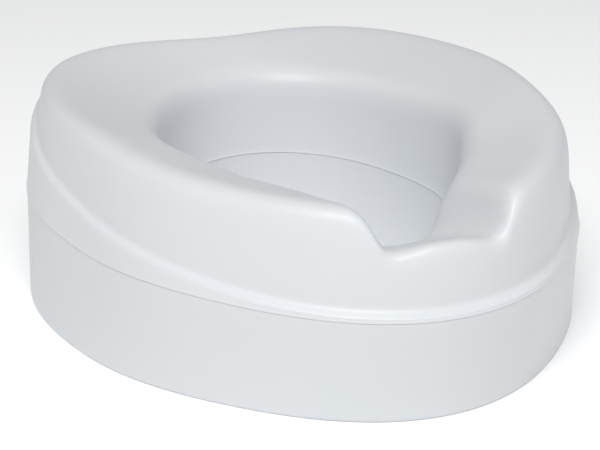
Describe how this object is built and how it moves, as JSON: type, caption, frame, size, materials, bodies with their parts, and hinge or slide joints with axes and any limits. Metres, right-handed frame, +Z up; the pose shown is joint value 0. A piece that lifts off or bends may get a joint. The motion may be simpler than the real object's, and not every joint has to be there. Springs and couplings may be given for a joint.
{
  "type": "raised toilet seat",
  "caption": "Raised toilet seat: a hollow ring-shaped moulding with a deep skirt, a stepped shoulder and a front hygiene notch, clamped to the bowl by sliding brackets.",
  "frame": {"origin": "centre of the bounding box's bottom face, on the plane of the skirt's lower edge", "axes": "+Z up out of the bowl, -Y to the front, where the hygiene notch is, +X to the right as seen from the front"},
  "size_m": [0.363, 0.4217, 0.1393],
  "materials": {
    "moulding": "satin white moulded plastic",
    "lower_moulding": "satin white moulded plastic",
    "bracket_plastic": "fine moulded grain",
    "knob_plastic": "satin",
    "rubber": "matt",
    "zinc_steel": "zinc plated"
  },
  "bodies": {
    "seat": {"seat_top_shell": "moulding", "seat_base_shell": "lower_moulding", "rim_pad_front": "rubber", "rim_pad_rear": "rubber", "rim_pad_left": "rubber", "rim_pad_right": "rubber", "bracket_stud_front_left": "zinc_steel", "bracket_stud_front_right": "zinc_steel", "bracket_stud_rear_left": "zinc_steel", "bracket_stud_rear_right": "zinc_steel"},
    "clamp_front_left": {"bracket_front_left": "bracket_plastic", "grip_pad_front_left": "rubber"},
    "washer_front_left": {"washer_front_left": "zinc_steel"},
    "nut_front_left": {"thumb_nut_front_left": "knob_plastic"},
    "clamp_front_right": {"bracket_front_right": "bracket_plastic", "grip_pad_front_right": "rubber"},
    "washer_front_right": {"washer_front_right": "zinc_steel"},
    "nut_front_right": {"thumb_nut_front_right": "knob_plastic"},
    "clamp_rear_left": {"bracket_rear_left": "bracket_plastic", "grip_pad_rear_left": "rubber"},
    "washer_rear_left": {"washer_rear_left": "zinc_steel"},
    "nut_rear_left": {"thumb_nut_rear_left": "knob_plastic"},
    "clamp_rear_right": {"bracket_rear_right": "bracket_plastic", "grip_pad_rear_right": "rubber"},
    "washer_rear_right": {"washer_rear_right": "zinc_steel"},
    "nut_rear_right": {"thumb_nut_rear_right": "knob_plastic"}
  },
  "joints": [
    {"name": "bracket_slide_front_left", "type": "slide", "parent": "seat", "child": "clamp_front_left", "axis": [-0.7431, -0.6691, 0], "range_m": [0, 0.008]},
    {"name": "washer_drop_front_left", "type": "slide", "parent": "seat", "child": "washer_front_left", "axis": [0, 0, -1], "range_m": [0, 0.002]},
    {"name": "nut_turn_front_left", "type": "hinge", "parent": "washer_front_left", "child": "nut_front_left", "pos_m": [-0.0869, -0.07609, 0.031], "axis": [0, 0, -1], "range_deg": [0, 720]},
    {"name": "bracket_slide_front_right", "type": "slide", "parent": "seat", "child": "clamp_front_right", "axis": [0.7431, -0.6691, 0], "range_m": [0, 0.008]},
    {"name": "washer_drop_front_right", "type": "slide", "parent": "seat", "child": "washer_front_right", "axis": [0, 0, -1], "range_m": [0, 0.002]},
    {"name": "nut_turn_front_right", "type": "hinge", "parent": "washer_front_right", "child": "nut_front_right", "pos_m": [0.0869, -0.07609, 0.031], "axis": [0, 0, -1], "range_deg": [0, 720]},
    {"name": "bracket_slide_rear_left", "type": "slide", "parent": "seat", "child": "clamp_rear_left", "axis": [-0.7431, 0.6691, 0], "range_m": [0, 0.008]},
    {"name": "washer_drop_rear_left", "type": "slide", "parent": "seat", "child": "washer_rear_left", "axis": [0, 0, -1], "range_m": [0, 0.002]},
    {"name": "nut_turn_rear_left", "type": "hinge", "parent": "washer_rear_left", "child": "nut_rear_left", "pos_m": [-0.09399, 0.08678, 0.031], "axis": [0, 0, -1], "range_deg": [0, 720]},
    {"name": "bracket_slide_rear_right", "type": "slide", "parent": "seat", "child": "clamp_rear_right", "axis": [0.7431, 0.6691, 0], "range_m": [0, 0.008]},
    {"name": "washer_drop_rear_right", "type": "slide", "parent": "seat", "child": "washer_rear_right", "axis": [0, 0, -1], "range_m": [0, 0.002]},
    {"name": "nut_turn_rear_right", "type": "hinge", "parent": "washer_rear_right", "child": "nut_rear_right", "pos_m": [0.09399, 0.08678, 0.031], "axis": [0, 0, -1], "range_deg": [0, 720]}
  ],
  "couplings": [
    {"joint": "nut_turn_front_left", "follows": "washer_drop_front_left", "rad_per_m": 6283.2},
    {"joint": "nut_turn_front_right", "follows": "washer_drop_front_right", "rad_per_m": 6283.2},
    {"joint": "nut_turn_rear_left", "follows": "washer_drop_rear_left", "rad_per_m": 6283.2},
    {"joint": "nut_turn_rear_right", "follows": "washer_drop_rear_right", "rad_per_m": 6283.2}
  ]
}
